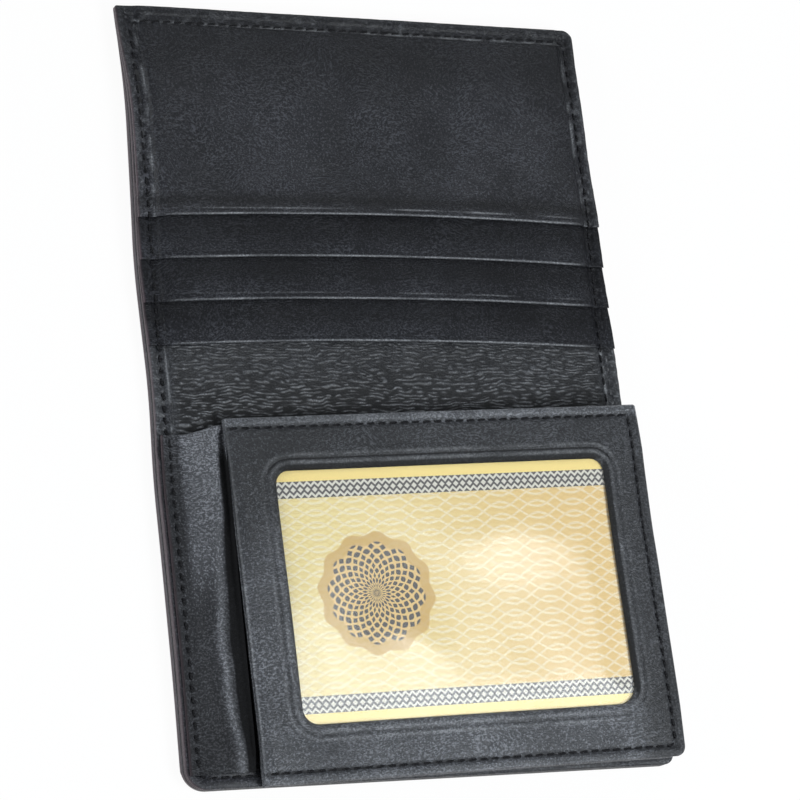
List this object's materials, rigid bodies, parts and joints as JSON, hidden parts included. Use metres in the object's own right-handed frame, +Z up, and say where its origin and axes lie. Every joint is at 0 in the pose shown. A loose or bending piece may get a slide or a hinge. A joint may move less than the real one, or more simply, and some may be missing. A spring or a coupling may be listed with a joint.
{
  "type": "l-fold wallet",
  "caption": "Black leather L-fold wallet lying open, with stepped card pockets on one half and a hinged flap with a clear window over a card on the other.",
  "frame": {"origin": "under the middle of the open wallet, on the face it rests on", "axes": "+X along the fold towards the free edge of the flap, +Y across the fold towards the card pockets, +Z up out of the open wallet"},
  "size_m": [0.11, 0.17, 0.0122],
  "materials": {
    "leather": "black grained leather with a soft sheen",
    "lining_cloth": "fine black woven lining",
    "thread": "twisted black sewing thread",
    "clear_film": "clear flexible film, glossy, slightly rippled",
    "printed_card": "gold and cream print on card"
  },
  "bodies": {
    "lower_half": {"cover_lower": "leather", "side_hem_lower": "leather", "end_hem_lower": "leather", "mouth_hem_lower": "leather", "inner_panel_lower": "leather", "slip_pocket_lower": "leather", "flap_hinge_strip": "leather", "cover_lining_lower": "lining_cloth", "panel_lining_lower": "lining_cloth", "thread_lower_left": "thread", "thread_lower_right": "thread", "thread_lower_end": "thread"},
    "spine": {"cover_spine": "leather", "side_hem_spine": "leather", "mouth_hem_spine": "leather", "inner_panel_spine": "leather", "cover_lining_spine": "lining_cloth", "panel_lining_spine": "lining_cloth", "thread_spine_left": "thread", "thread_spine_right": "thread"},
    "upper_half": {"cover_upper": "leather", "side_hem_upper": "leather", "end_hem_upper": "leather", "mouth_hem_upper": "leather", "inner_panel_upper": "leather", "card_pocket_1": "leather", "card_pocket_2": "leather", "card_pocket_3": "leather", "card_pocket_4": "leather", "cover_lining_upper": "lining_cloth", "panel_lining_upper": "lining_cloth", "pocket_cloth_2": "lining_cloth", "pocket_cloth_3": "lining_cloth", "pocket_cloth_4": "lining_cloth", "thread_upper_left": "thread", "thread_upper_right": "thread", "thread_upper_end": "thread"},
    "flap": {"flap_pocket": "leather", "flap_back": "leather", "flap_hem_side": "leather", "flap_hem_near": "leather", "flap_hem_far": "leather", "flap_frame": "leather", "thread_flap": "thread", "window_film": "clear_film"},
    "card": {"insert_card": "printed_card"}
  },
  "joints": [
    {"name": "lower_fold", "type": "hinge", "parent": "spine", "child": "lower_half", "pos_m": [0, -0.0062, 0.0035], "axis": [-1, 0, 0], "range_deg": [0, 90]},
    {"name": "upper_fold", "type": "hinge", "parent": "spine", "child": "upper_half", "pos_m": [0, 0.0062, 0.0035], "axis": [1, 0, 0], "range_deg": [0, 90]},
    {"name": "flap_hinge", "type": "hinge", "parent": "lower_half", "child": "flap", "pos_m": [-0.0475, 0, 0.00607], "axis": [0, -1, 0], "range_deg": [0, 179], "deforming": ["flap_hinge_strip"]},
    {"name": "card_slide", "type": "slide", "parent": "flap", "child": "card", "axis": [-0.9991, 0, -0.0419], "range_m": [0, 0.091]}
  ],
  "couplings": [
    {"joint": "upper_fold", "follows": "lower_fold", "ratio": 1}
  ]
}
